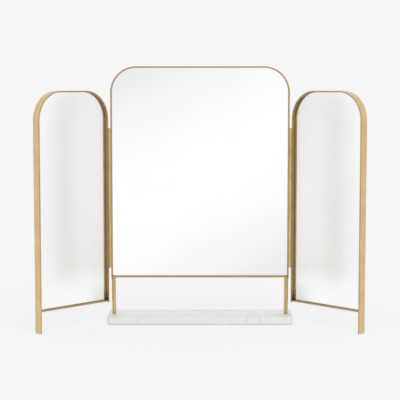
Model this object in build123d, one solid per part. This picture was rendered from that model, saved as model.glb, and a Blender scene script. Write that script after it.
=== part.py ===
from build123d import *
import os

# Three-panel folding table mirror. A centre mirror stands on two round posts
# over a stone base, and two wings hang on long pinned hinges at its sides.
# The wings' outer uprights run down to the table as feet.
# Millimetres, +Z up, front towards -Y, origin on the table under the centre
# mirror's middle, which is also the middle of the base.

# Flat bar of the frames, set on edge
bar_thickness = 3.0
bar_depth = 19.0

# Centre mirror
centre_width = 400.0
panel_height = 473.8
centre_rail_height = 101.3
centre_corner_radius = 58.0
centre_end_drop = 3.0

# Wings
wing_width = 197.0
wing_rail_height = 47.7
wing_corner_radius = 63.0
wing_end_drop = 1.5
wing_angle = 45.9

# Mirror plate and what lies behind it, from the front of the frame
glass_recess = 7.5
glass_thickness = 3.0
glass_clearance = 0.4
tape_thickness = 0.8
tape_width = 24.0
tape_inset = 30.0
backing_thickness = 4.2

# Lugs welded inside the frame, that hold the backing board
lug_thickness = 1.2
lug_width = 14.0
lug_reach = 10.0
lug_end_distance = 70.0
lug_spacing = 130.0
lug_rows = 3
lug_screw_inset = 6.0
lug_screw_diameter = 3.0
lug_screw_head = 5.5
lug_screw_head_height = 1.6
lug_screw_head_rounding = 0.9
lug_screw_cross = 3.4
lug_screw_bite = 3.4

# Stone base and the felt under it
slab_overhang = 12.7
slab_depth = 96.0
slab_thickness = 16.0
slab_corner_radius = 6.0
slab_arris = 1.2
felt_thickness = 1.5
felt_inset = 2.0

# Posts and their fixings
post_diameter = 9.6
post_inset = 5.2
post_spigot = 4.0
post_tapping_depth = 17.0
bolt_diameter = 6.0
bolt_bite = 14.0
bolt_head_diameter = 10.0
bolt_head_height = 6.0
bolt_socket = 5.0
bolt_socket_depth = 3.0
washer_diameter = 13.0
washer_hole = 6.4
washer_thickness = 1.2
counterbore_depth = 8.0
counterbore_diameter = 14.0
bolt_hole = 6.6

# Pinned hinges
hinge_bottom = 124.0
hinge_length = 314.0
hinge_lead = 1.0
leaf_thickness = 1.0
leaf_width = 13.5
barrel_radius = 2.1
hinge_pin_diameter = 2.2
pin_clearance = 0.04
barrel_clearance = 0.1
leaf_setback = 0.35
knuckle_count = 21
knuckle_gap = 0.3
leaf_screw_count = 5
leaf_screw_diameter = 2.5
leaf_screw_head = 4.0
leaf_screw_head_height = 0.75
leaf_screw_length = 3.4
leaf_screw_cross = 2.5
cross_width = 0.6
cross_depth = 0.4

# Fits, and how far a cut runs past the face it opens
fixing_clearance = 0.05
overcut = 1.0
foot_glide_thickness = 1.0
foot_glide_margin = 0.2

# Worked out from the sizes above
centre_half = centre_width / 2
post_offset = centre_half - post_inset
slab_half = post_offset + slab_overhang
frame_front = -bar_depth / 2
frame_back = bar_depth / 2
glass_front = frame_front + glass_recess
glass_back = glass_front + glass_thickness
tape_back = glass_back + tape_thickness
backing_back = tape_back + backing_thickness
lug_back = backing_back + lug_thickness
slab_top = felt_thickness + slab_thickness
strip_gap = 2 * (barrel_radius + barrel_clearance)
hinge_x = centre_half + strip_gap / 2
hinge_y = frame_front - hinge_lead
wing_start = centre_half + strip_gap
wing_end = wing_start + wing_width


def plate(outline, y_front, y_back):
    """An upright outline, x across and z up, made solid between two depths."""
    return extrude(Plane.XZ.offset(-y_back) * outline, y_back - y_front)


def arch(x_left, x_right, z_bottom, z_top, radius):
    """An upright rectangle with its two top corners rounded."""
    middle = Pos((x_left + x_right) / 2, (z_bottom + z_top) / 2)
    outline = middle * Rectangle(x_right - x_left, z_top - z_bottom)
    return fillet(outline.vertices().group_by(Axis.Y)[-1], radius)


def block(x_range, y_range, z_range):
    """A box between pairs of limits."""
    centre = [(low + high) / 2 for low, high in (x_range, y_range, z_range)]
    size = [high - low for low, high in (x_range, y_range, z_range)]
    return Pos(*centre) * Box(*size)


def upright(radius, z_bottom, z_top):
    """A cylinder on the Z axis between two heights."""
    return Pos(0, 0, (z_bottom + z_top) / 2) * Cylinder(radius, z_top - z_bottom)


def bar_frame(x_left, x_right, left_end, right_end, z_top, radius):
    """Flat bar bent into an arch, each leg cut to its own height."""
    lowest = min(left_end, right_end)
    outside = arch(x_left, x_right, lowest, z_top, radius)
    inside = arch(
        x_left + bar_thickness,
        x_right - bar_thickness,
        lowest - bar_depth,
        z_top - bar_thickness,
        radius - bar_thickness,
    )
    frame = plate(outside - inside, frame_front, frame_back)
    middle = (x_left + x_right) / 2
    if left_end > lowest:
        frame -= block((x_left, middle), (frame_front, frame_back), (lowest, left_end))
    return frame


def glazing(x_left, x_right, rail_height, radius):
    """Mirror plate, tape strips and backing board inside a frame's opening."""
    inset = bar_thickness + glass_clearance
    outline = arch(
        x_left + inset,
        x_right - inset,
        rail_height + inset,
        rail_height + panel_height - inset,
        radius - inset,
    )
    glass = plate(outline, glass_front, glass_back)
    backing = plate(outline, tape_back, backing_back)
    z_range = (rail_height + tape_inset, rail_height + panel_height - tape_inset - radius)
    tapes = Compound(
        [
            block((x - tape_width / 2, x + tape_width / 2), (glass_back, tape_back), z_range)
            for x in (x_left + tape_inset, x_right - tape_inset)
        ]
    )
    return glass, tapes, backing


def cross_recess(length):
    """A cross for a driver, cut down into a face that looks along +Z."""
    bar = Box(length, cross_width, 2 * cross_depth)
    return bar + Rot(0, 0, 90) * bar


def pan_screw(length):
    """A pan-head screw under the XY plane, its head above it."""
    head = Pos(0, 0, lug_screw_head_height / 2) * Cylinder(lug_screw_head / 2, lug_screw_head_height)
    head = fillet(head.edges().group_by(Axis.Z)[-1], lug_screw_head_rounding)
    head -= Pos(0, 0, lug_screw_head_height) * cross_recess(lug_screw_cross)
    return head + upright(lug_screw_diameter / 2, -length, 0)


def countersunk_screw():
    """A countersunk screw whose head is flush with the XY plane."""
    shank = upright(leaf_screw_diameter / 2, -leaf_screw_length, -leaf_screw_head_height / 2)
    head = Pos(0, 0, -leaf_screw_head_height / 2) * Cone(
        leaf_screw_diameter / 2, leaf_screw_head / 2, leaf_screw_head_height
    )
    return head + shank - cross_recess(leaf_screw_cross)


def countersunk_hole():
    """The space that a countersunk screw takes, with its clearance."""
    radius = leaf_screw_diameter / 2 + fixing_clearance
    shank = upright(radius, -leaf_screw_length - fixing_clearance, overcut)
    head = Pos(0, 0, -leaf_screw_head_height / 2) * Cone(
        radius, leaf_screw_head / 2 + fixing_clearance, leaf_screw_head_height
    )
    return head + shank


def lug_places(x_left, x_right, rail_height):
    """Where lugs sit: the frame's inner face, the way into the panel, height."""
    places = []
    for edge, inward in ((x_left + bar_thickness, 1), (x_right - bar_thickness, -1)):
        for row in range(lug_rows):
            places.append((edge, inward, rail_height + lug_end_distance + row * lug_spacing))
    return places


def lugs_and_screws(x_left, x_right, rail_height, backing):
    """Welded lugs behind the board, a screw in each, and the drilled board."""
    lugs = []
    screws = []
    hole = Rot(-90, 0, 0) * upright(
        lug_screw_diameter / 2 + fixing_clearance,
        -lug_screw_bite - lug_thickness - fixing_clearance,
        overcut,
    )
    screw = Rot(-90, 0, 0) * pan_screw(lug_screw_bite + lug_thickness)
    for edge, inward, height in lug_places(x_left, x_right, rail_height):
        ends = sorted((edge, edge + inward * lug_reach))
        place = Pos(edge + inward * lug_screw_inset, lug_back, height)
        lug = block(ends, (backing_back, lug_back), (height - lug_width / 2, height + lug_width / 2))
        lugs.append(lug - place * hole)
        screws.append(place * screw)
        backing -= place * hole
    return Compound(lugs), Compound(screws), backing


def leaf_screw_heights():
    """Heights of the screws along a hinge leaf."""
    pitch = hinge_length / leaf_screw_count
    return [hinge_bottom + (step + 0.5) * pitch for step in range(leaf_screw_count)]


def leaf_screw_spots(side):
    """Screw places on the leaf at one side of the hinge's axis, heads to the axis."""
    x = hinge_x + side * (strip_gap / 2 - leaf_thickness)
    y = hinge_y + barrel_radius + (leaf_setback + leaf_width) / 2
    return [Pos(x, y, height) * Rot(0, -side * 90, 0) for height in leaf_screw_heights()]


def hinge_leaf(side, first_knuckle):
    """One leaf with its knuckles; side -1 lies on the centre frame, 1 on the wing."""
    pitch = (hinge_length + knuckle_gap) / knuckle_count
    outer = hinge_x + side * strip_gap / 2
    inner = outer - side * leaf_thickness
    x_range = sorted((outer, inner))
    top = hinge_bottom + hinge_length
    edge = hinge_y + barrel_radius + leaf_setback
    leaf = block(x_range, (edge, hinge_y + barrel_radius + leaf_width), (hinge_bottom, top))
    axis = Pos(hinge_x, hinge_y, 0)
    for index in range(first_knuckle, knuckle_count, 2):
        low = hinge_bottom + index * pitch
        high = low + pitch - knuckle_gap
        leaf += block(x_range, (hinge_y, edge), (low, high))
        leaf += axis * upright(barrel_radius, low, high)
    bore = hinge_pin_diameter / 2 + pin_clearance
    leaf -= axis * upright(bore, hinge_bottom - overcut, top + overcut)
    for spot in leaf_screw_spots(side):
        leaf -= spot * countersunk_hole()
    return leaf


def drilled(frame, side):
    """A frame with the blind holes for one leaf's screws."""
    for spot in leaf_screw_spots(side):
        frame -= spot * countersunk_hole()
    return frame


def mirrored(shape):
    """The same piece for the left side."""
    return mirror(shape, Plane.YZ)


def opened(shape):
    """A right wing piece, swung forward from flat to the angle it stands at."""
    return Pos(hinge_x, hinge_y, 0) * Rot(0, 0, -wing_angle) * Pos(-hinge_x, -hinge_y, 0) * shape


def base_slab():
    """Stone slab with rounded upright corners, eased edges and stepped bolt holes."""
    slab = block(
        (-slab_half, slab_half),
        (-slab_depth / 2, slab_depth / 2),
        (felt_thickness, slab_top),
    )
    slab = fillet(slab.edges().filter_by(Axis.Z), slab_corner_radius)
    slab = fillet(slab.edges().group_by(Axis.Z)[-1], slab_arris)
    slab = chamfer(slab.edges().group_by(Axis.Z)[0], slab_arris / 2)
    for x in (-post_offset, post_offset):
        slab -= Pos(x, 0, 0) * upright(bolt_hole / 2, felt_thickness - overcut, slab_top + overcut)
        slab -= Pos(x, 0, 0) * upright(
            counterbore_diameter / 2, felt_thickness - overcut, felt_thickness + counterbore_depth
        )
    return slab


def base_felt():
    """Felt sheet glued under the slab, over the bolt holes."""
    sheet = block(
        (-slab_half + felt_inset, slab_half - felt_inset),
        (-slab_depth / 2 + felt_inset, slab_depth / 2 - felt_inset),
        (0, felt_thickness),
    )
    return fillet(sheet.edges().filter_by(Axis.Z), slab_corner_radius - felt_inset)


def right_post():
    """Round post, coped round the frame's leg, tapped below, with a spigot on top."""
    post = upright(post_diameter / 2, slab_top, centre_rail_height)
    post += upright(post_spigot / 2, centre_rail_height, centre_rail_height + bar_thickness)
    bore = bolt_diameter / 2 + fixing_clearance
    post -= upright(bore, slab_top - overcut, slab_top + post_tapping_depth)
    leg_inside = centre_half - bar_thickness - fixing_clearance
    leg_end = centre_rail_height - centre_end_drop - fixing_clearance
    return Pos(post_offset, 0, 0) * post - block(
        (leg_inside, centre_half + overcut),
        (frame_front, frame_back),
        (leg_end, centre_rail_height),
    )


def post_washer():
    """Washer at the top of the counterbore."""
    top = felt_thickness + counterbore_depth
    bottom = top - washer_thickness
    ring = upright(washer_diameter / 2, bottom, top)
    return ring - upright(washer_hole / 2, bottom - overcut, top + overcut)


def post_bolt():
    """Socket-head bolt that goes up through the slab into the post."""
    seat = felt_thickness + counterbore_depth - washer_thickness
    head = upright(bolt_head_diameter / 2, seat - bolt_head_height, seat)
    socket = Pos(0, 0, seat - bolt_head_height) * extrude(
        RegularPolygon(bolt_socket / 2, 6, major_radius=False), bolt_socket_depth
    )
    return head - socket + upright(bolt_diameter / 2, seat, slab_top + bolt_bite)


def centre_rail():
    """Bottom rail between the centre frame's legs, drilled for the post spigots."""
    rail = block(
        (-centre_half + bar_thickness, centre_half - bar_thickness),
        (frame_front, frame_back),
        (centre_rail_height, centre_rail_height + bar_thickness),
    )
    hole = upright(
        post_spigot / 2 + fixing_clearance,
        centre_rail_height - overcut,
        centre_rail_height + bar_thickness + overcut,
    )
    return rail - Pos(-post_offset, 0, 0) * hole - Pos(post_offset, 0, 0) * hole


def foot_glide():
    """Thin pad under the wing's foot."""
    return block(
        (wing_end - bar_thickness + foot_glide_margin, wing_end - foot_glide_margin),
        (frame_front + foot_glide_margin, frame_back - foot_glide_margin),
        (0, foot_glide_thickness),
    )


def centre_pieces():
    """Pieces of the centre mirror."""
    legs = centre_rail_height - centre_end_drop
    top = centre_rail_height + panel_height
    frame = bar_frame(-centre_half, centre_half, legs, legs, top, centre_corner_radius)
    frame = drilled(mirrored(drilled(frame, -1)), -1)
    sides = (-centre_half, centre_half)
    glass, tapes, backing = glazing(*sides, centre_rail_height, centre_corner_radius)
    lugs, screws, backing = lugs_and_screws(*sides, centre_rail_height, backing)
    return {
        "centre_frame": frame,
        "centre_bottom_rail": centre_rail(),
        "centre_mirror_glass": glass,
        "centre_mounting_tape": tapes,
        "centre_backing_board": backing,
        "centre_backing_lugs": lugs,
        "centre_lug_screws": screws,
    }


def wing_pieces():
    """Pieces of the right wing, lying flat beside the centre mirror."""
    top = wing_rail_height + panel_height
    frame = bar_frame(
        wing_start,
        wing_end,
        wing_rail_height - wing_end_drop,
        foot_glide_thickness,
        top,
        wing_corner_radius,
    )
    rail = block(
        (wing_start + bar_thickness, wing_end - bar_thickness),
        (frame_front, frame_back),
        (wing_rail_height, wing_rail_height + bar_thickness),
    )
    glass, tapes, backing = glazing(wing_start, wing_end, wing_rail_height, wing_corner_radius)
    lugs, screws, backing = lugs_and_screws(wing_start, wing_end, wing_rail_height, backing)
    return {
        "wing_frame": drilled(frame, 1),
        "wing_bottom_rail": rail,
        "wing_mirror_glass": glass,
        "wing_mounting_tape": tapes,
        "wing_backing_board": backing,
        "wing_backing_lugs": lugs,
        "wing_lug_screws": screws,
        "wing_hinge_leaf": hinge_leaf(1, 1),
        "wing_hinge_screws": Compound([spot * countersunk_screw() for spot in leaf_screw_spots(1)]),
        "wing_foot_glide": foot_glide(),
    }


def build():
    """Every piece under its name."""
    both = [Pos(x, 0, 0) for x in (-post_offset, post_offset)]
    pieces = {
        "base_slab": base_slab(),
        "base_felt": base_felt(),
        "post_bolts": Compound([place * post_bolt() for place in both]),
        "post_washers": Compound([place * post_washer() for place in both]),
        "right_post": right_post(),
        "left_post": mirrored(right_post()),
    }
    pieces.update(centre_pieces())
    fixed = {
        "fixed_hinge_leaf": hinge_leaf(-1, 0),
        "fixed_hinge_screws": Compound([spot * countersunk_screw() for spot in leaf_screw_spots(-1)]),
        "hinge_pin": Pos(hinge_x, hinge_y, 0)
        * upright(hinge_pin_diameter / 2, hinge_bottom, hinge_bottom + hinge_length),
    }
    for name, shape in wing_pieces().items():
        fixed[name] = opened(shape)
    for name, shape in fixed.items():
        pieces["right_" + name] = shape
        pieces["left_" + name] = mirrored(shape)
    return pieces


os.makedirs("parts", exist_ok=True)
for name, shape in build().items():
    export_step(shape, "parts/" + name + ".step")
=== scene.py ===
import math

import bmesh
import bpy
from mathutils import Matrix, Vector


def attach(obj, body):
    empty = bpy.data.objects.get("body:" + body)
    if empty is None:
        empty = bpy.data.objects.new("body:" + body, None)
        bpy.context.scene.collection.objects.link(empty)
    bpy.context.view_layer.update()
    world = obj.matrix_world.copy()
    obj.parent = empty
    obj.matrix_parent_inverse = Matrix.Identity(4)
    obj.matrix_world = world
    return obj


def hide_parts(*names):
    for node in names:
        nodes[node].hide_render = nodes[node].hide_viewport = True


# A folding three-panel table mirror. The CAD pieces are the frame; this script gives each a
# finish, and rebuilds those whose edges, seams or surfaces the plain solids only hint at.
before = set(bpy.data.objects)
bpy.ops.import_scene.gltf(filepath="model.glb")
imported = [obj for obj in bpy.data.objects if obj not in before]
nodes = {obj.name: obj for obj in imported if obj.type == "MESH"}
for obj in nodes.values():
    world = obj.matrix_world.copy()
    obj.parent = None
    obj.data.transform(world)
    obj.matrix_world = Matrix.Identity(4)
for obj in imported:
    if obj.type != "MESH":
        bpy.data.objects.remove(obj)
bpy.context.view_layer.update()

MM = 0.001

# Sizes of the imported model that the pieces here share, in millimetres
BAR_THICKNESS, BAR_DEPTH = 3.0, 19.0
CENTRE_HALF, CENTRE_RAIL, CENTRE_RADIUS, CENTRE_DROP = 200.0, 101.3, 58.0, 3.0
PANEL_HEIGHT = 473.8
WING_START, WING_END, WING_RAIL, WING_RADIUS, WING_DROP = 204.4, 401.4, 47.7, 63.0, 1.5
WING_ANGLE = math.radians(45.9)
HINGE_X, HINGE_Y = 202.2, -10.5
GLASS_RECESS, BACK_OF_BOARD = 7.5, 6.0
FOOT_GLIDE = 1.0
KNUCKLE_DRAWN = 2.1

# Sizes that only this script knows, in millimetres. Edges of the flat bar are rolled, not cut,
# so they are a little round.
BAR_ROUNDING, RAIL_EASING, LEAF_EASING = 0.3, 0.35, 0.12
KNUCKLE_ROLLED, KNUCKLE_SLACK = 2.32, 0.14
GLASS_ARRIS, CENTRE_GROWTH, WING_GROWTH = 0.25, 0.4, 0.15
BEAD_RADIUS, BEAD_INSET, BEAD_GAP = 1.3, 0.9, 0.5
MERGE_DISTANCE = 0.001

# How finely curves are cut, and how far large faces lead in smooth shading, out of 100
BEND_STEPS, EDGE_STEPS, BEAD_STEPS, BEAD_SIDES, FLOOR_SIDES = 26, 3, 13, 10, 96
FACE_WEIGHT = 80

# A bead's thickness is uneven by this share. Its ends start to round off at this share of its
# length from its middle, and their tips are this share of its thickness.
BEAD_UNEVENNESS, BEAD_ROUND_OFF, BEAD_TIP = 0.12, 0.42, 0.25

# Bar finish, where its painted shade fades: on the inside face, as shares of half the thickness;
# on the front and back faces, in millimetres in from the edge; in the corner at the glass, in
# millimetres off mid-depth; and the heat tint, in bar thicknesses and then millimetres off the rail
INSIDE_FADE = (0.95, 0.6)
EDGE_FADE = (0.4, 0.1)
CORNER_SHADE_FADE = (2.2, 3.9)
HEAT_START = (0.55, 0.85)
HEAT_FADE = (3.0, 26.0)


def colour(hex_code):
    """An sRGB hex colour as linear RGBA."""
    shares = [int(hex_code[i:i + 2], 16) / 255 for i in (0, 2, 4)]
    return [s / 12.92 if s <= 0.04045 else ((s + 0.055) / 1.055) ** 2.4 for s in shares] + [1.0]


def feed(tree, node, sockets):
    """Links or sets a node's sockets, by name or number. A node stands for its first output."""
    for key, value in sockets.items():
        if isinstance(value, bpy.types.Node):
            value = value.outputs[0]
        if isinstance(value, bpy.types.NodeSocket):
            tree.links.new(value, node.inputs[key])
        else:
            node.inputs[key].default_value = value


def add(tree, kind, sockets=None, stops=(), **settings):
    """Adds a node with its links, its own properties and, on a ramp, its (place, hex) stops."""
    made = tree.nodes.new(kind)
    for name, value in settings.items():
        setattr(made, name, value)
    for number, (place, tone) in enumerate(stops):
        made.color_ramp.elements[number].position = place
        made.color_ramp.elements[number].color = colour(tone)
    feed(tree, made, sockets or {})
    return made


def new_material(name):
    """A material with its tree, the shader that carries its finish, and Object coordinates."""
    material = bpy.data.materials.new(name)
    material.use_nodes = True
    tree = material.node_tree
    tree.nodes.clear()
    shader = add(tree, "ShaderNodeBsdfPrincipled")
    add(tree, "ShaderNodeOutputMaterial", {"Surface": shader})
    place = add(tree, "ShaderNodeTexCoord").outputs["Object"]
    return material, tree, shader, place


def stretched(tree, source, scale, turn=0.0):
    """Coordinates turned about Z and then scaled per axis, in cells per metre."""
    turned = add(tree, "ShaderNodeMapping", {"Vector": source, "Rotation": (0, 0, turn)})
    return add(tree, "ShaderNodeMapping", {"Vector": turned, "Scale": scale})


# Brass. Mill-brushed flat bar under clear lacquer: the eye gets a soft pale gold with faint
# streaks along the bar. Real brushing is under 0.1 mm wide, so it is drawn as 1 to 3 mm
# streaks, which is as coarse as it has to be to show from a step away. Tarnish clouds it over
# about 35 mm.
STREAK_LENGTH, STREAK_WIDTH = 90 * MM, 1.8 * MM


def streaked_brass(tree, shader, place, scale, light, dark, roughness):
    """Brushed brass on given coordinates. Returns the colour, for more toning."""
    streaks = add(
        tree,
        "ShaderNodeTexNoise",
        {"Vector": stretched(tree, place, scale), "Scale": 1.0, "Detail": 4.0, "Roughness": 0.65},
    )
    clouds = add(tree, "ShaderNodeTexNoise", {"Vector": place, "Scale": 28.0, "Detail": 2.0})
    tone = add(tree, "ShaderNodeMath", {0: streaks, 1: clouds}, operation="ADD")
    share = add(tree, "ShaderNodeMapRange", {0: tone, 1: 0.75, 2: 1.25, 3: 0.0, 4: 1.0})
    bump = add(tree, "ShaderNodeBump", {"Height": streaks, "Strength": 0.12, "Distance": 0.05 * MM})
    shade = add(tree, "ShaderNodeValToRGB", {0: share}, stops=((0.0, dark), (1.0, light)))
    limits = {1: 0.3, 2: 0.7, 3: roughness - 0.04, 4: roughness + 0.05}
    gloss = add(tree, "ShaderNodeMapRange", {0: streaks, **limits})
    feed(tree, shader, {"Base Color": shade, "Metallic": 1.0, "Roughness": gloss, "Normal": bump})
    return shade


def bar_finish():
    """Flat bar: bright outside. Painted shade darkens its front and back faces, its inside face
    and the corner where it meets the glass; the inside face also takes a heat tint by the rails."""
    material, tree, shader, place = new_material("brushed_brass_bar")
    bar = add(tree, "ShaderNodeAttribute", attribute_name="bar").outputs["Vector"]
    scale = (1 / STREAK_LENGTH, 1 / STREAK_WIDTH, 1 / STREAK_WIDTH)
    shade = streaked_brass(tree, shader, bar, scale, BAR_LIGHT, BAR_DARK, BAR_ROUGHNESS)
    parts = add(tree, "ShaderNodeSeparateXYZ", {0: bar}).outputs
    # The inside face, toward the mirror: painted shade, and by the rails the heat tint
    low, high = [-share * BAR_THICKNESS / 2 * MM for share in INSIDE_FADE]
    inside = add(tree, "ShaderNodeMapRange", {0: parts["Z"], 1: low, 2: high, 3: 1.0, 4: 0.0})
    # The front and back faces: painted shade
    off_middle = add(tree, "ShaderNodeMath", {0: parts["Y"]}, operation="ABSOLUTE")
    low, high = [(BAR_DEPTH / 2 - inset) * MM for inset in EDGE_FADE]
    edge = add(tree, "ShaderNodeMapRange", {0: off_middle, 1: low, 2: high, 3: 0.0, 4: 1.0})
    # Painted shade in the corner where the bar meets the glass, on the inside face
    low, high = [distance * MM for distance in CORNER_SHADE_FADE]
    corner = add(tree, "ShaderNodeMapRange", {0: off_middle, 1: low, 2: high, 3: 1.0, 4: 0.0})
    corner_shade = add(tree, "ShaderNodeMath", {0: corner, 1: inside}, operation="MULTIPLY")
    # Brazing the rails on leaves a heat tint that fades out along the wings' uprights
    height = add(tree, "ShaderNodeSeparateXYZ", {0: place}).outputs["Z"]
    mid_rail = (WING_RAIL + BAR_THICKNESS / 2) * MM
    off_rail = add(tree, "ShaderNodeMath", {0: height, 1: mid_rail}, operation="SUBTRACT")
    away = add(tree, "ShaderNodeMath", {0: off_rail}, operation="ABSOLUTE")
    low, high = [distance * MM for distance in HEAT_FADE]
    near = add(tree, "ShaderNodeMapRange", {0: away, 1: low, 2: high, 3: 1.0, 4: 0.0})
    low, high = [BAR_THICKNESS * share * MM for share in HEAT_START]
    off_bar = add(tree, "ShaderNodeMapRange", {0: away, 1: low, 2: high, 3: 0.0, 4: 1.0})
    upright = add(tree, "ShaderNodeMath", {0: near, 1: off_bar}, operation="MULTIPLY")
    heat = add(tree, "ShaderNodeMath", {0: upright, 1: inside}, operation="MULTIPLY")
    # The first three darken with painted shade; the heat tint is the metal's own
    painted_shades_and_heat_tint = ((inside, INSIDE_SHADE), (edge, EDGE_SHADE), (corner_shade, CORNER_SHADE), (heat, HEAT_TINT))
    for share, darkening in painted_shades_and_heat_tint:
        shade = add(
            tree,
            "ShaderNodeMix",
            {"Factor": share, 6: shade, 7: colour(darkening)},
            data_type="RGBA",
            blend_type="MULTIPLY",
        ).outputs[2]
    feed(tree, shader, {"Base Color": shade})
    return material


def plain_brass(name, light, dark, roughness):
    """Round or rolled brass, brushed up and down."""
    material, tree, shader, place = new_material(name)
    scale = (1 / STREAK_WIDTH, 1 / STREAK_WIDTH, 1 / STREAK_LENGTH)
    streaked_brass(tree, shader, place, scale, light, dark, roughness)
    return material


def silvered_glass(name, roughness):
    """Silvered float glass, polished. Its own tint is a trace of grey, and the silver is drawn
    less sharp than a real one, so that far things blur and near ones stay crisp."""
    material, tree, shader, place = new_material(name)
    waves = add(tree, "ShaderNodeTexNoise", {"Vector": place, "Scale": 9.0, "Detail": 1.0})
    stops = ((0.3, "FDFDFD"), (0.7, "FFFFFF"))
    tone = add(tree, "ShaderNodeValToRGB", {0: waves}, stops=stops)
    feed(tree, shader, {"Base Color": tone, "Metallic": 1.0, "Roughness": roughness})
    return material


def glass_edge():
    """Cut and seamed edge of float glass: iron makes it a dull dark green. The belt's grit is
    finer than 0.2 mm, and is drawn at 1.4 mm to show at all."""
    material, tree, shader, place = new_material("seamed_glass_edge")
    grain = add(tree, "ShaderNodeTexNoise", {"Vector": place, "Scale": 700.0, "Detail": 2.0})
    stops = ((0.3, "5F7A6E"), (0.7, "87A093"))
    tone = add(tree, "ShaderNodeValToRGB", {0: grain}, stops=stops)
    feed(tree, shader, {"Base Color": tone, "Roughness": 0.35})
    return material


def mirror_back_paint():
    """Grey protective paint on the silvering, curtain coated: almost smooth, with a faint
    unevenness every 4 to 5 mm."""
    material, tree, shader, place = new_material("mirror_back_paint")
    grain = add(tree, "ShaderNodeTexNoise", {"Vector": place, "Scale": 220.0, "Detail": 3.0})
    stops = ((0.3, "5A5F61"), (0.7, "666B6D"))
    tone = add(tree, "ShaderNodeValToRGB", {0: grain}, stops=stops)
    feed(tree, shader, {"Base Color": tone, "Roughness": 0.55})
    return material


MARBLE_WHITE, MARBLE_GREY, MARBLE_VEIN = "EBEBE8", "E4E4E1", "D2D3D2"


def honed_marble():
    """White marble, honed: matt to satin, with soft grey veins 30 to 90 mm apart and a
    sugar-like grain of about 1.5 mm."""
    material, tree, shader, place = new_material("honed_white_marble")
    bend = add(tree, "ShaderNodeTexNoise", {"Vector": place, "Scale": 9.0, "Detail": 3.0})
    carried = add(
        tree, "ShaderNodeVectorMath", {0: bend.outputs[1], "Scale": 0.16}, operation="SCALE"
    )
    warped = add(tree, "ShaderNodeVectorMath", {0: place, 1: carried}, operation="ADD")
    drift = stretched(tree, warped, (11.0, 20.0, 24.0), math.radians(24))
    field = add(tree, "ShaderNodeTexNoise", {"Vector": drift, "Scale": 1.0, "Detail": 2.5})
    off = add(tree, "ShaderNodeMath", {0: field, 1: 0.5}, operation="SUBTRACT")
    ridge = add(tree, "ShaderNodeMath", {0: off}, operation="ABSOLUTE")
    vein = add(tree, "ShaderNodeMapRange", {0: ridge, 1: 0.0, 2: 0.055, 3: 1.0, 4: 0.0})
    patches = add(tree, "ShaderNodeTexNoise", {"Vector": warped, "Scale": 16.0, "Detail": 3.0})
    where = add(tree, "ShaderNodeMapRange", {0: patches, 1: 0.42, 2: 0.68, 3: 0.0, 4: 1.0})
    strength = add(tree, "ShaderNodeMath", {0: vein, 1: where}, operation="MULTIPLY")
    grain = add(tree, "ShaderNodeTexVoronoi", {"Vector": place, "Scale": 650.0}).outputs["Distance"]
    stops = ((0.3, MARBLE_GREY), (0.7, MARBLE_WHITE))
    body = add(tree, "ShaderNodeValToRGB", {0: patches}, stops=stops)
    speckle = add(tree, "ShaderNodeMapRange", {0: grain, 1: 0.0, 2: 0.8, 3: 0.97, 4: 1.02})
    speckled = add(tree, "ShaderNodeVectorMath", {0: body, "Scale": speckle}, operation="SCALE")
    veined = add(
        tree,
        "ShaderNodeMix",
        {"Factor": strength, 6: speckled, 7: colour(MARBLE_VEIN)},
        data_type="RGBA",
    ).outputs[2]
    bump = add(tree, "ShaderNodeBump", {"Height": grain, "Strength": 0.05, "Distance": 0.1 * MM})
    feed(tree, shader, {"Base Color": veined, "Roughness": 0.42, "Normal": bump})
    return material


def pressed_felt():
    """White wool-mix felt, needle pressed: no weave, only matted 0.5 mm fibres."""
    material, tree, shader, place = new_material("pressed_white_felt")
    fibres = add(tree, "ShaderNodeTexNoise", {"Vector": place, "Scale": 1800.0, "Detail": 5.0})
    bump = add(tree, "ShaderNodeBump", {"Height": fibres, "Strength": 0.6, "Distance": 0.3 * MM})
    stops = ((0.3, "CFCFCC"), (0.7, "E2E2DF"))
    tone = add(tree, "ShaderNodeValToRGB", {0: fibres}, stops=stops)
    feed(tree, shader, {"Base Color": tone, "Roughness": 0.95, "Normal": bump})
    return material


def foam_tape():
    """White closed-cell foam tape, with cells of about 0.6 mm."""
    material, tree, shader, place = new_material("white_foam_tape")
    cells = add(tree, "ShaderNodeTexVoronoi", {"Vector": place, "Scale": 1600.0})
    bump = add(tree, "ShaderNodeBump", {"Height": cells, "Strength": 0.4, "Distance": 0.2 * MM})
    stops = ((0.0, "DAD9D4"), (1.0, "F0EFEA"))
    tone = add(tree, "ShaderNodeValToRGB", {0: cells}, stops=stops)
    feed(tree, shader, {"Base Color": tone, "Roughness": 0.9, "Normal": bump})
    return material


def black_board():
    """Hardboard, roller painted black: the paint leaves an orange-peel of 3 to 4 mm and rubs
    a little paler here and there."""
    material, tree, shader, place = new_material("black_painted_hardboard")
    peel = add(tree, "ShaderNodeTexNoise", {"Vector": place, "Scale": 300.0, "Detail": 2.0})
    rubs = add(tree, "ShaderNodeTexNoise", {"Vector": place, "Scale": 14.0, "Detail": 4.0})
    bump = add(tree, "ShaderNodeBump", {"Height": peel, "Strength": 0.25, "Distance": 0.2 * MM})
    stops = ((0.3, "1B1B1C"), (0.75, "2A2A2B"))
    tone = add(tree, "ShaderNodeValToRGB", {0: rubs}, stops=stops)
    limits = {1: 0.3, 2: 0.7, 3: 0.48, 4: 0.62}
    gloss = add(tree, "ShaderNodeMapRange", {0: rubs, **limits})
    feed(tree, shader, {"Base Color": tone, "Roughness": gloss, "Normal": bump})
    return material


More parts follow.
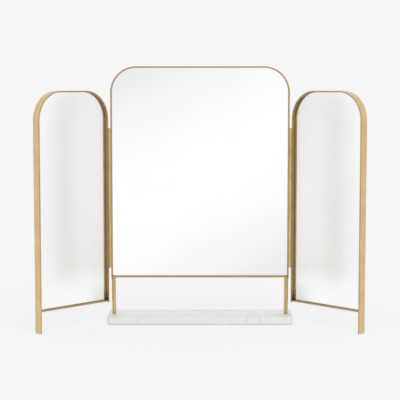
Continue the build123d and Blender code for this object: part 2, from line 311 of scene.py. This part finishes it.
def plated(name, light, dark, roughness):
    """Small steel parts, tumbled and then plated or oxidised: even, with faint mottling of
    about 2.5 mm."""
    material, tree, shader, place = new_material(name)
    mottle = add(tree, "ShaderNodeTexNoise", {"Vector": place, "Scale": 420.0, "Detail": 3.0})
    stops = ((0.3, dark), (0.7, light))
    tone = add(tree, "ShaderNodeValToRGB", {0: mottle}, stops=stops)
    limits = {1: 0.3, 2: 0.7, 3: roughness - 0.05, 4: roughness + 0.07}
    gloss = add(tree, "ShaderNodeMapRange", {0: mottle, **limits})
    feed(tree, shader, {"Base Color": tone, "Metallic": 1.0, "Roughness": gloss})
    return material


def moulded_nylon():
    """Natural nylon, injection moulded: milky, slightly waxy, with the mould's spark texture of
    about 0.4 mm."""
    material, tree, shader, place = new_material("moulded_natural_nylon")
    spark = add(tree, "ShaderNodeTexNoise", {"Vector": place, "Scale": 2500.0, "Detail": 2.0})
    bump = add(tree, "ShaderNodeBump", {"Height": spark, "Strength": 0.2, "Distance": 0.05 * MM})
    stops = ((0.3, "D5D2C6"), (0.7, "DFDCD1"))
    tone = add(tree, "ShaderNodeValToRGB", {0: spark}, stops=stops)
    feed(tree, shader, {"Base Color": tone, "Roughness": 0.5, "Normal": bump})
    return material


BAR_LIGHT, BAR_DARK, BAR_ROUGHNESS, POST_ROUGHNESS = "DCC291", "CEB281", 0.28, 0.17
# Painted shade on the inside face, the front and back faces and the glass corner; then a heat tint
INSIDE_SHADE, EDGE_SHADE, CORNER_SHADE, HEAT_TINT = "BCB6A6", "EEE4CF", "9A8450", "9A7250"
HINGE_LIGHT, HINGE_DARK, HINGE_ROUGHNESS = "EFD9A6", "D9BD86", 0.24
BRAZE_LIGHT, BRAZE_DARK, BRAZE_ROUGHNESS = "9C6234", "6E3C1C", 0.42
# Each wing's mirror sees the other wing twice over, which the photograph hardly shows
MIRROR_ROUGHNESS, WING_MIRROR_ROUGHNESS = 0.1, 0.19

bar_brass = bar_finish()
post_brass = plain_brass("brushed_brass_post", BAR_LIGHT, BAR_DARK, POST_ROUGHNESS)
hinge_brass = plain_brass("rolled_brass_hinge", HINGE_LIGHT, HINGE_DARK, HINGE_ROUGHNESS)
braze = plain_brass("heat_tinted_braze", BRAZE_LIGHT, BRAZE_DARK, BRAZE_ROUGHNESS)
mirror_silver = silvered_glass("silvered_float_glass", MIRROR_ROUGHNESS)
wing_silver = silvered_glass("silvered_wing_glass", WING_MIRROR_ROUGHNESS)
edge_glass = glass_edge()
back_paint = mirror_back_paint()
marble = honed_marble()
felt = pressed_felt()
foam = foam_tape()
board = black_board()
zinc = plated("zinc_plated_steel", "C9C7BE", "B2AFA4", 0.32)
black_oxide = plated("black_oxide_steel", "4A4A4C", "353537", 0.4)
nylon = moulded_nylon()


def bent_bar_tree():
    """Flat bar on edge, bent into an arch: a path with filleted corners, swept by a rounded
    section. It keeps where each point lies along and across the bar, for the brushing."""
    tree = bpy.data.node_groups.new("bent flat bar", "GeometryNodeTree")
    face = tree.interface
    ends = ("Left", "Right", "Left end", "Right end", "Top")
    sizes = ("Bend radius", "Thickness", "Depth", "Rounding")
    for name in ends + sizes:
        face.new_socket(name=name, in_out="INPUT", socket_type="NodeSocketFloat")
    face.new_socket(name="Finish", in_out="INPUT", socket_type="NodeSocketMaterial")
    face.new_socket(name="Bar", in_out="OUTPUT", socket_type="NodeSocketGeometry")
    given = add(tree, "NodeGroupInput").outputs
    half = add(tree, "ShaderNodeMath", {0: given["Thickness"], 1: 0.5}, operation="MULTIPLY")
    left = add(tree, "ShaderNodeMath", {0: given["Left"], 1: half}, operation="ADD")
    right = add(tree, "ShaderNodeMath", {0: given["Right"], 1: half}, operation="SUBTRACT")
    top = add(tree, "ShaderNodeMath", {0: given["Top"], 1: half}, operation="SUBTRACT")
    bend = add(tree, "ShaderNodeMath", {0: given["Bend radius"], 1: half}, operation="SUBTRACT")
    line = add(tree, "GeometryNodeCurvePrimitiveLine")
    four = add(tree, "GeometryNodeResampleCurve", {"Curve": line, "Count": 4})
    index = add(tree, "GeometryNodeInputIndex")
    on_right = add(tree, "ShaderNodeMath", {0: index, 1: 1.5}, operation="GREATER_THAN")
    off_middle = add(tree, "ShaderNodeMath", {0: index, 1: 1.5}, operation="SUBTRACT")
    from_middle = add(tree, "ShaderNodeMath", {0: off_middle}, operation="ABSOLUTE")
    at_end = add(tree, "ShaderNodeMath", {0: from_middle, 1: 1.0}, operation="GREATER_THAN")
    x = add(tree, "ShaderNodeMix", {"Factor": on_right, "A": left, "B": right})
    end = add(
        tree, "ShaderNodeMix", {"Factor": on_right, "A": given["Left end"], "B": given["Right end"]}
    )
    z = add(tree, "ShaderNodeMix", {"Factor": at_end, "A": top, "B": end})
    corner = add(tree, "ShaderNodeCombineXYZ", {"X": x, "Z": z})
    path = add(tree, "GeometryNodeSetPosition", {"Geometry": four, "Position": corner})
    bent = add(
        tree,
        "GeometryNodeFilletCurve",
        {"Curve": path, "Count": BEND_STEPS, "Radius": bend, "Limit Radius": True},
        mode="POLY",
    )
    level = add(
        tree, "GeometryNodeSetCurveNormal", {"Curve": bent, "Normal": (0, 1, 0)}, mode="FREE"
    )
    length = add(tree, "GeometryNodeSplineParameter").outputs["Length"]
    measured = add(
        tree,
        "GeometryNodeStoreNamedAttribute",
        {"Geometry": level, "Name": "along", "Value": length},
    )
    section = add(
        tree,
        "GeometryNodeCurvePrimitiveQuadrilateral",
        {"Width": given["Depth"], "Height": given["Thickness"]},
    )
    rounded = add(
        tree,
        "GeometryNodeFilletCurve",
        {"Curve": section, "Count": EDGE_STEPS, "Radius": given["Rounding"]},
        mode="POLY",
    )
    marked = add(
        tree,
        "GeometryNodeStoreNamedAttribute",
        {
            "Geometry": rounded,
            "Name": "section",
            "Value": add(tree, "GeometryNodeInputPosition"),
        },
        data_type="FLOAT_VECTOR",
    )
    swept = add(
        tree,
        "GeometryNodeCurveToMesh",
        {"Curve": measured, "Profile Curve": marked, "Fill Caps": True},
    )
    along = add(tree, "GeometryNodeInputNamedAttribute", {"Name": "along"})
    across = add(
        tree, "GeometryNodeInputNamedAttribute", {"Name": "section"}, data_type="FLOAT_VECTOR"
    )
    parts = add(tree, "ShaderNodeSeparateXYZ", {0: across}).outputs
    brush = add(tree, "ShaderNodeCombineXYZ", {"X": along, "Y": parts["X"], "Z": parts["Y"]})
    stored = add(
        tree,
        "GeometryNodeStoreNamedAttribute",
        {"Geometry": swept, "Name": "bar", "Value": brush},
        data_type="FLOAT_VECTOR",
    )
    real = add(tree, "GeometryNodeRealizeInstances", {"Geometry": stored})
    finished = add(
        tree, "GeometryNodeSetMaterial", {"Geometry": real, "Material": given["Finish"]}
    )
    add(tree, "NodeGroupOutput", {0: finished})
    return tree


def from_tree(name, tree, values, start=None):
    """Runs a node tree, on a starting mesh where it needs one, and keeps a plain mesh."""
    made = bpy.data.objects.new(name, start or bpy.data.meshes.new(name + "_seed"))
    bpy.context.scene.collection.objects.link(made)
    modifier = made.modifiers.new("shape", "NODES")
    modifier.node_group = tree
    for socket in tree.interface.items_tree:
        if socket.in_out == "INPUT" and socket.name in values:
            modifier[socket.identifier] = values[socket.name]
    return applied(made)


def applied(made):
    """The object's mesh with its modifiers built in, and the modifiers gone."""
    bpy.context.view_layer.update()
    depsgraph = bpy.context.evaluated_depsgraph_get()
    result = bpy.data.meshes.new_from_object(made.evaluated_get(depsgraph))
    made.modifiers.clear()
    made.data = result
    result.name = made.name
    return made


def smoothed(made):
    """Smooth shading whose flat faces stay flat."""
    for face in made.data.polygons:
        face.use_smooth = True
    made.modifiers.new("shading", "WEIGHTED_NORMAL").weight = FACE_WEIGHT
    return applied(made)


def swing(made, side):
    """Turns a piece drawn in line with the centre mirror to where its wing stands."""
    pivot = Vector((side * HINGE_X * MM, HINGE_Y * MM, 0))
    turn = Matrix.Rotation(-side * WING_ANGLE, 4, "Z")
    made.data.transform(Matrix.Translation(pivot) @ turn @ Matrix.Translation(-pivot))
    return made


def settle(made, body, slot, *replaced):
    """Fixes a finished piece to its body and hides the solids that it stands for; its slot is not
    used.
    """
    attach(made, body)
    if replaced:
        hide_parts(*replaced)
    return made


bar_tree = bent_bar_tree()
common = {
    "Thickness": BAR_THICKNESS * MM,
    "Depth": BAR_DEPTH * MM,
    "Rounding": BAR_ROUNDING * MM,
    "Finish": bar_brass,
}
centre_bar = from_tree(
    "centre_bent_bar",
    bar_tree,
    {
        "Left": -CENTRE_HALF * MM,
        "Right": CENTRE_HALF * MM,
        "Left end": (CENTRE_RAIL - CENTRE_DROP) * MM,
        "Right end": (CENTRE_RAIL - CENTRE_DROP) * MM,
        "Top": (CENTRE_RAIL + PANEL_HEIGHT) * MM,
        "Bend radius": CENTRE_RADIUS * MM,
        **common,
    },
)
settle(smoothed(centre_bar), "stand", "satin_brass", "centre_frame")
for side, name in ((-1, "left"), (1, "right")):
    ends = [(WING_RAIL - WING_DROP) * MM, FOOT_GLIDE * MM][::side]
    sides = sorted((side * WING_START * MM, side * WING_END * MM))
    wing_bar = from_tree(
        name + "_wing_bent_bar",
        bar_tree,
        {
            "Left": sides[0],
            "Right": sides[1],
            "Left end": ends[0],
            "Right end": ends[1],
            "Top": (WING_RAIL + PANEL_HEIGHT) * MM,
            "Bend radius": WING_RADIUS * MM,
            **common,
        },
    )
    settle(swing(smoothed(wing_bar), side), name + "_wing", "satin_brass", name + "_wing_frame")


# Faces that meet under the first angle are one face; edges over the second are eased
FLAT_ANGLE, SHARP_ANGLE = math.radians(1), math.radians(40)


def eased_copy(name, node, width, steps):
    """A copy of a CAD solid whose sharp edges are eased by a small radius, in millimetres."""
    mesh = nodes[node].data.copy()
    work = bmesh.new()
    work.from_mesh(mesh)
    bmesh.ops.remove_doubles(work, verts=work.verts, dist=MERGE_DISTANCE * MM)
    bmesh.ops.dissolve_limit(
        work, angle_limit=FLAT_ANGLE, verts=work.verts, edges=work.edges, delimit=set()
    )
    work.to_mesh(mesh)
    work.free()
    mesh.materials.clear()
    made = bpy.data.objects.new(name, mesh)
    bpy.context.scene.collection.objects.link(made)
    ease = made.modifiers.new("eased", "BEVEL")
    ease.width = width * MM
    ease.segments = steps
    ease.limit_method = "ANGLE"
    ease.angle_limit = SHARP_ANGLE
    return smoothed(applied(made))


def front_of(name):
    """Which way a mirror looks: the unit vector out of its front."""
    side = {"centre": 0, "left_wing": -1, "right_wing": 1}[name]
    angle = -side * WING_ANGLE
    return Matrix.Rotation(angle, 3, "Z") @ Vector((0, -1, 0))


def hinge_leaf(name, node, side):
    """A leaf with its knuckles at their rolled size, which fills the gap between the frames,
    and with eased ends."""
    made = eased_copy(name, node, LEAF_EASING, 1)
    for v in made.data.vertices:
        out = v.co.xy - Vector((side * HINGE_X * MM, HINGE_Y * MM))
        if abs(out.length - KNUCKLE_DRAWN * MM) < KNUCKLE_SLACK * MM:
            v.co.xy += out.normalized() * (KNUCKLE_ROLLED - KNUCKLE_DRAWN) * MM
    made.data.materials.append(hinge_brass)
    return made


for side, name in ((-1, "left"), (1, "right")):
    for part, body in (("fixed", "stand"), ("wing", name + "_wing")):
        node = name + "_" + part + "_hinge_leaf"
        settle(hinge_leaf(name + "_" + part + "_leaf", node, side), body, "hinge_brass", node)


def brushed_along(made, front):
    """Gives a rail the bent bars' attribute: its length, its depth and, last, its thickness,
    with the side away from the mirror positive."""
    points = [v.co.copy() for v in made.data.vertices]
    middle = sum(points, Vector()) / len(points)
    across = Vector((front.y, -front.x, 0))
    values = [(p.dot(across), (p - middle).dot(front), middle.z - p.z) for p in points]
    kept = made.data.attributes.new("bar", "FLOAT_VECTOR", "POINT")
    kept.data.foreach_set("vector", [part for value in values for part in value])
    return made


def brazed_bead_tree():
    """A brazed joint: a rod of filler laid along a line of points and melted into the corner,
    a little thicker and thinner as it goes, with rounded ends."""
    tree = bpy.data.node_groups.new("brazed bead", "GeometryNodeTree")
    face = tree.interface
    face.new_socket(name="Line", in_out="INPUT", socket_type="NodeSocketGeometry")
    for name in ("Radius", "Unevenness"):
        face.new_socket(name=name, in_out="INPUT", socket_type="NodeSocketFloat")
    face.new_socket(name="Seed", in_out="INPUT", socket_type="NodeSocketInt")
    face.new_socket(name="Finish", in_out="INPUT", socket_type="NodeSocketMaterial")
    face.new_socket(name="Bead", in_out="OUTPUT", socket_type="NodeSocketGeometry")
    given = add(tree, "NodeGroupInput").outputs
    line = add(tree, "GeometryNodeMeshToCurve", {0: given["Line"]})
    even = add(tree, "GeometryNodeResampleCurve", {"Curve": line, "Count": BEAD_STEPS})

    uneven = given["Unevenness"]
    low = add(tree, "ShaderNodeMath", {0: 1.0, 1: uneven}, operation="SUBTRACT")
    high = add(tree, "ShaderNodeMath", {0: 1.0, 1: uneven}, operation="ADD")
    wobble = add(
        tree, "FunctionNodeRandomValue", {2: low, 3: high, "Seed": given["Seed"]}, data_type="FLOAT"
    ).outputs[1]
    share = add(tree, "GeometryNodeSplineParameter").outputs["Factor"]
    off_middle = add(tree, "ShaderNodeMath", {0: share, 1: 0.5}, operation="SUBTRACT")
    from_middle = add(tree, "ShaderNodeMath", {0: off_middle}, operation="ABSOLUTE")
    limits = {1: BEAD_ROUND_OFF, 2: 0.5, 3: 1.0, 4: BEAD_TIP}
    taper = add(tree, "ShaderNodeMapRange", {0: from_middle, **limits})
    size = add(tree, "ShaderNodeMath", {0: wobble, 1: taper}, operation="MULTIPLY")
    radius = add(tree, "ShaderNodeMath", {0: size, 1: given["Radius"]}, operation="MULTIPLY")
    section = add(
        tree, "GeometryNodeCurvePrimitiveCircle", {"Resolution": BEAD_SIDES, "Radius": 1.0}
    )
    swept = add(
        tree,
        "GeometryNodeCurveToMesh",
        {"Curve": even, "Profile Curve": section, "Scale": radius, "Fill Caps": True},
    )
    real = add(tree, "GeometryNodeRealizeInstances", {"Geometry": swept})
    finished = add(tree, "GeometryNodeSetMaterial", {"Geometry": real, "Material": given["Finish"]})
    add(tree, "NodeGroupOutput", {0: finished})
    return tree


bead_tree = brazed_bead_tree()


def brazed_beads(name, lines, seed):
    """Beads along straight lines between pairs of points, in millimetres."""
    mesh = bpy.data.meshes.new(name + "_lines")
    points = [tuple(part * MM for part in point) for line in lines for point in line]
    mesh.from_pydata(points, [(i, i + 1) for i in range(0, len(points), 2)], [])
    sizes = {"Radius": BEAD_RADIUS * MM, "Unevenness": BEAD_UNEVENNESS}
    values = {**sizes, "Seed": seed, "Finish": braze}
    return smoothed(from_tree(name, bead_tree, values, mesh))


def corner_lines(left, right, rail, under):
    """Joint lines of a rail with the two uprights: in front of the plate, behind the board,
    and under the rail where there is room."""
    top = rail + BAR_THICKNESS
    front = -BAR_DEPTH / 2
    lines = []
    for x in (left + BAR_THICKNESS, right - BAR_THICKNESS):
        lines.append([(x, front + BEAD_INSET, top), (x, front + GLASS_RECESS - BEAD_GAP, top)])
        lines.append([(x, BACK_OF_BOARD + BEAD_GAP, top), (x, -front - BEAD_INSET, top)])
        if under:
            lines.append([(x, front + BEAD_INSET, rail), (x, -front - BEAD_INSET, rail)])
    return lines


lines = corner_lines(-CENTRE_HALF, CENTRE_HALF, CENTRE_RAIL, False)
settle(brazed_beads("centre_rail_welds", lines, 3), "stand", "satin_brass")
for side, name in ((-1, "left"), (1, "right")):
    ends = sorted((side * WING_START, side * WING_END))
    lines = corner_lines(*ends, WING_RAIL, True)
    beads = brazed_beads(name + "_wing_rail_welds", lines, 5 + side)
    settle(swing(beads, side), name + "_wing", "satin_brass")


def fill_frame(mesh, front, growth):
    """Widens a plate in its own plane till it all but touches its frame, as glass bedded on
    foam tape does."""
    across = Vector((front.y, -front.x, 0))
    for way in (across, Vector((0, 0, 1))):
        places = [v.co.dot(way) for v in mesh.vertices]
        middle = (max(places) + min(places)) / 2
        half = (max(places) - min(places)) / 2
        for v, place in zip(mesh.vertices, places):
            v.co += way * (place - middle) / half * growth * MM


# A plate's face is silvered where it looks this much to the front, and painted where it looks
# this much to the back; the rest is its cut edge
SILVERED, PAINTED = 0.3, -0.9
for panel, body in (("centre", "stand"), ("left_wing", "left_wing"), ("right_wing", "right_wing")):
    glass = eased_copy(panel + "_mirror_plate", panel + "_mirror_glass", GLASS_ARRIS, 1)
    silver, growth = wing_silver, WING_GROWTH
    if panel == "centre":
        silver, growth = mirror_silver, CENTRE_GROWTH
    for finish in (silver, edge_glass, back_paint):
        glass.data.materials.append(finish)
    front = front_of(panel)
    fill_frame(glass.data, front, growth)
    for face in glass.data.polygons:
        facing = face.normal.dot(front)
        face.material_index = 0 if facing > SILVERED else 2 if facing < PAINTED else 1
    settle(glass, body, "mirror_glass", panel + "_mirror_glass")

    rail_node = panel + "_bottom_rail"
    rail = brushed_along(eased_copy(panel + "_rail_bar", rail_node, RAIL_EASING, 2), front)
    rail.data.materials.append(bar_brass)
    settle(rail, body, "satin_brass", rail_node)

# Finishes of the CAD pieces that keep their own shape
FINISHES = {
    "base_slab": marble,
    "base_felt": felt,
    "post_bolts": black_oxide,
    "post_washers": zinc,
    "left_post": post_brass,
    "right_post": post_brass,
    "mounting_tape": foam,
    "backing_board": board,
    "backing_lugs": zinc,
    "lug_screws": zinc,
    "hinge_leaf": hinge_brass,
    "hinge_screws": hinge_brass,
    "hinge_pin": hinge_brass,
    "foot_glide": nylon,
    "frame": bar_brass,
    "bottom_rail": post_brass,
    "mirror_glass": mirror_silver,
}
for node, piece in nodes.items():
    finish = next(f for ending, f in FINISHES.items() if node.endswith(ending))
    piece.data.materials.clear()
    piece.data.materials.append(finish)

# Floor. It keeps a faint shadow; the rest of its paleness is the backdrop's own. The shadow
# is gone between these shares of the floor's radius.
FLOOR_FADE = (0.5, 0.95)
BACKGROUND = colour("F6F6F6")
WHITE = colour("FFFFFF")
FLOOR_RADIUS, FLOOR_DROP = 2.6, 0.0002
SHADOW_SHARE = 0.2


def pale_floor():
    """Painted studio floor: plain, matt, and the same pale grey as the backdrop."""
    material = bpy.data.materials.new("painted_studio_floor")
    material.use_nodes = True
    tree = material.node_tree
    tree.nodes.clear()
    matt = add(tree, "ShaderNodeBsdfDiffuse", {"Color": BACKGROUND})
    glow = add(tree, "ShaderNodeEmission", {"Color": BACKGROUND})
    place = add(tree, "ShaderNodeTexCoord").outputs["Object"]
    away = add(tree, "ShaderNodeVectorMath", {0: place}, operation="LENGTH").outputs["Value"]
    low, high = [share * FLOOR_RADIUS for share in FLOOR_FADE]
    limits = {1: low, 2: high, 3: 1 - SHADOW_SHARE, 4: 1.0}
    keep = add(tree, "ShaderNodeMapRange", {0: away, **limits})
    rays = add(tree, "ShaderNodeLightPath").outputs
    eye, gloss = rays["Is Camera Ray"], rays["Is Glossy Ray"]
    seen = add(tree, "ShaderNodeMath", {0: eye, 1: gloss}, operation="MAXIMUM")
    seen = add(
        tree, "ShaderNodeMath", {0: seen, 1: rays["Is Transmission Ray"]}, operation="MAXIMUM"
    )
    share = add(tree, "ShaderNodeMath", {0: seen, 1: keep}, operation="MULTIPLY")
    mixed = add(tree, "ShaderNodeMixShader", {0: share, 1: matt, 2: glow})
    add(tree, "ShaderNodeOutputMaterial", {"Surface": mixed})
    return material


work = bmesh.new()
bmesh.ops.create_circle(work, cap_ends=True, radius=FLOOR_RADIUS, segments=FLOOR_SIDES)
floor_mesh = bpy.data.meshes.new("floor")
work.to_mesh(floor_mesh)
work.free()
floor_mesh.materials.append(pale_floor())
floor = bpy.data.objects.new("floor", floor_mesh)
floor.location.z = -FLOOR_DROP
floor.visible_glossy = False
bpy.context.scene.collection.objects.link(floor)


# The band leans across the view that the mirrors give of the room behind the camera
BAND_SLOPE, BAND_HEIGHT, BAND_FALLOFF, BAND_PEAK, FRONT_LOW = 0.51, 0.0745, 17.0, 1.035, 0.8
SIDE_LIGHT = 1.0
# The front ends, and the sides begin, between these shares of the way to the front
FRONT_FADE = (-0.45, -0.05)
# Dark cards beside the camera, that give round brass its darker sides: the sine of the angle
# to each, half its width, and how much light it takes away
DARK_CARDS = ((-0.56, 0.24, 0.45), (0.8, 0.15, 0.3))
PLAIN_LEVEL = 0.985


def studio_world():
    """Plain pale backdrop for the eye, even light for matt surfaces, and for glossy ones a
    room with a bright band behind the camera, bright sides, and darker corners between."""
    world = bpy.data.worlds.new("studio")
    world.use_nodes = True
    tree = world.node_tree
    tree.nodes.clear()
    way = add(tree, "ShaderNodeTexCoord").outputs["Generated"]
    parts = add(tree, "ShaderNodeSeparateXYZ", {0: way}).outputs
    lean = add(tree, "ShaderNodeMath", {0: parts["X"], 1: -BAND_SLOPE}, operation="MULTIPLY")
    leaning = add(tree, "ShaderNodeMath", {0: parts["Z"], 1: lean}, operation="ADD")
    off_band = add(tree, "ShaderNodeMath", {0: leaning, 1: BAND_HEIGHT}, operation="ADD")
    squared = add(tree, "ShaderNodeMath", {0: off_band, 1: off_band}, operation="MULTIPLY")
    fall = add(tree, "ShaderNodeMath", {0: squared, 1: -BAND_FALLOFF}, operation="MULTIPLY")
    peaked = add(tree, "ShaderNodeMath", {0: fall, 1: BAND_PEAK}, operation="ADD")
    band = add(tree, "ShaderNodeMath", {0: peaked, 1: FRONT_LOW}, operation="MAXIMUM")
    low, high = FRONT_FADE
    ahead = add(tree, "ShaderNodeMapRange", {0: parts["Y"], 1: low, 2: high, 3: 1.0, 4: 0.0})
    room = add(tree, "ShaderNodeMix", {"Factor": ahead, "A": SIDE_LIGHT, "B": band})
    for middle, width, share in DARK_CARDS:
        off = add(tree, "ShaderNodeMath", {0: parts["X"], 1: -middle}, operation="ADD")
        widths = add(tree, "ShaderNodeMath", {0: off, 1: 1 / width}, operation="MULTIPLY")
        squared = add(tree, "ShaderNodeMath", {0: widths, 1: widths}, operation="MULTIPLY")
        hump = add(tree, "ShaderNodeMath", {0: 1.0, 1: squared}, operation="SUBTRACT")
        card = add(tree, "ShaderNodeMath", {0: hump, 1: 0.0}, operation="MAXIMUM")
        front_card = add(tree, "ShaderNodeMath", {0: card, 1: ahead}, operation="MULTIPLY")
        taken = add(tree, "ShaderNodeMath", {0: front_card, 1: share}, operation="MULTIPLY")
        left = add(tree, "ShaderNodeMath", {0: 1.0, 1: taken}, operation="SUBTRACT")
        room = add(tree, "ShaderNodeMath", {0: room, 1: left}, operation="MULTIPLY")
    rays = add(tree, "ShaderNodeLightPath").outputs
    eye, gloss, through = [
        rays["Is " + kind + " Ray"] for kind in ("Camera", "Glossy", "Transmission")
    ]
    level = add(tree, "ShaderNodeMix", {"Factor": gloss, "A": PLAIN_LEVEL, "B": room})
    lit = add(tree, "ShaderNodeBackground", {"Color": WHITE, "Strength": level})
    seen = add(tree, "ShaderNodeBackground", {"Color": BACKGROUND})
    either = add(tree, "ShaderNodeMath", {0: eye, 1: through}, operation="MAXIMUM")
    mixed = add(tree, "ShaderNodeMixShader", {0: either, 1: lit, 2: seen})
    add(tree, "ShaderNodeOutputWorld", {"Surface": mixed})
    return world


bpy.context.scene.world = studio_world()


def soft_light(name, place, target, size, power):
    """A large square lamp that shines on matt surfaces only."""
    lamp = bpy.data.lights.new(name, "AREA")
    lamp.shape = "SQUARE"
    lamp.size = size
    lamp.energy = power
    made = bpy.data.objects.new(name, lamp)
    made.location = place
    made.rotation_euler = (Vector(target) - Vector(place)).to_track_quat("-Z", "Y").to_euler()
    made.visible_camera = False
    made.visible_glossy = False
    bpy.context.scene.collection.objects.link(made)
    return made


soft_light("front_lamp", place=(0.7, -2.2, 1.7), target=(0, 0, 0.2), size=1.6, power=12)

# The photograph's camera: 112 mm lens on a 36 mm frame, just under the mirror's top and
# looking a little down
LENS, FILM_WIDTH = 112.38, 36
CAMERA_PLACE, CAMERA_TILT = (0, -2.7965, 0.54), 5.393
camera_data = bpy.data.cameras.new("camera")
camera_data.sensor_width = FILM_WIDTH
camera_data.lens = LENS
camera = bpy.data.objects.new("camera", camera_data)
camera.location = CAMERA_PLACE
camera.rotation_euler = (math.radians(90 - CAMERA_TILT), 0, 0)
bpy.context.scene.collection.objects.link(camera)
bpy.context.scene.camera = camera
bpy.context.scene.view_settings.view_transform = "Standard"
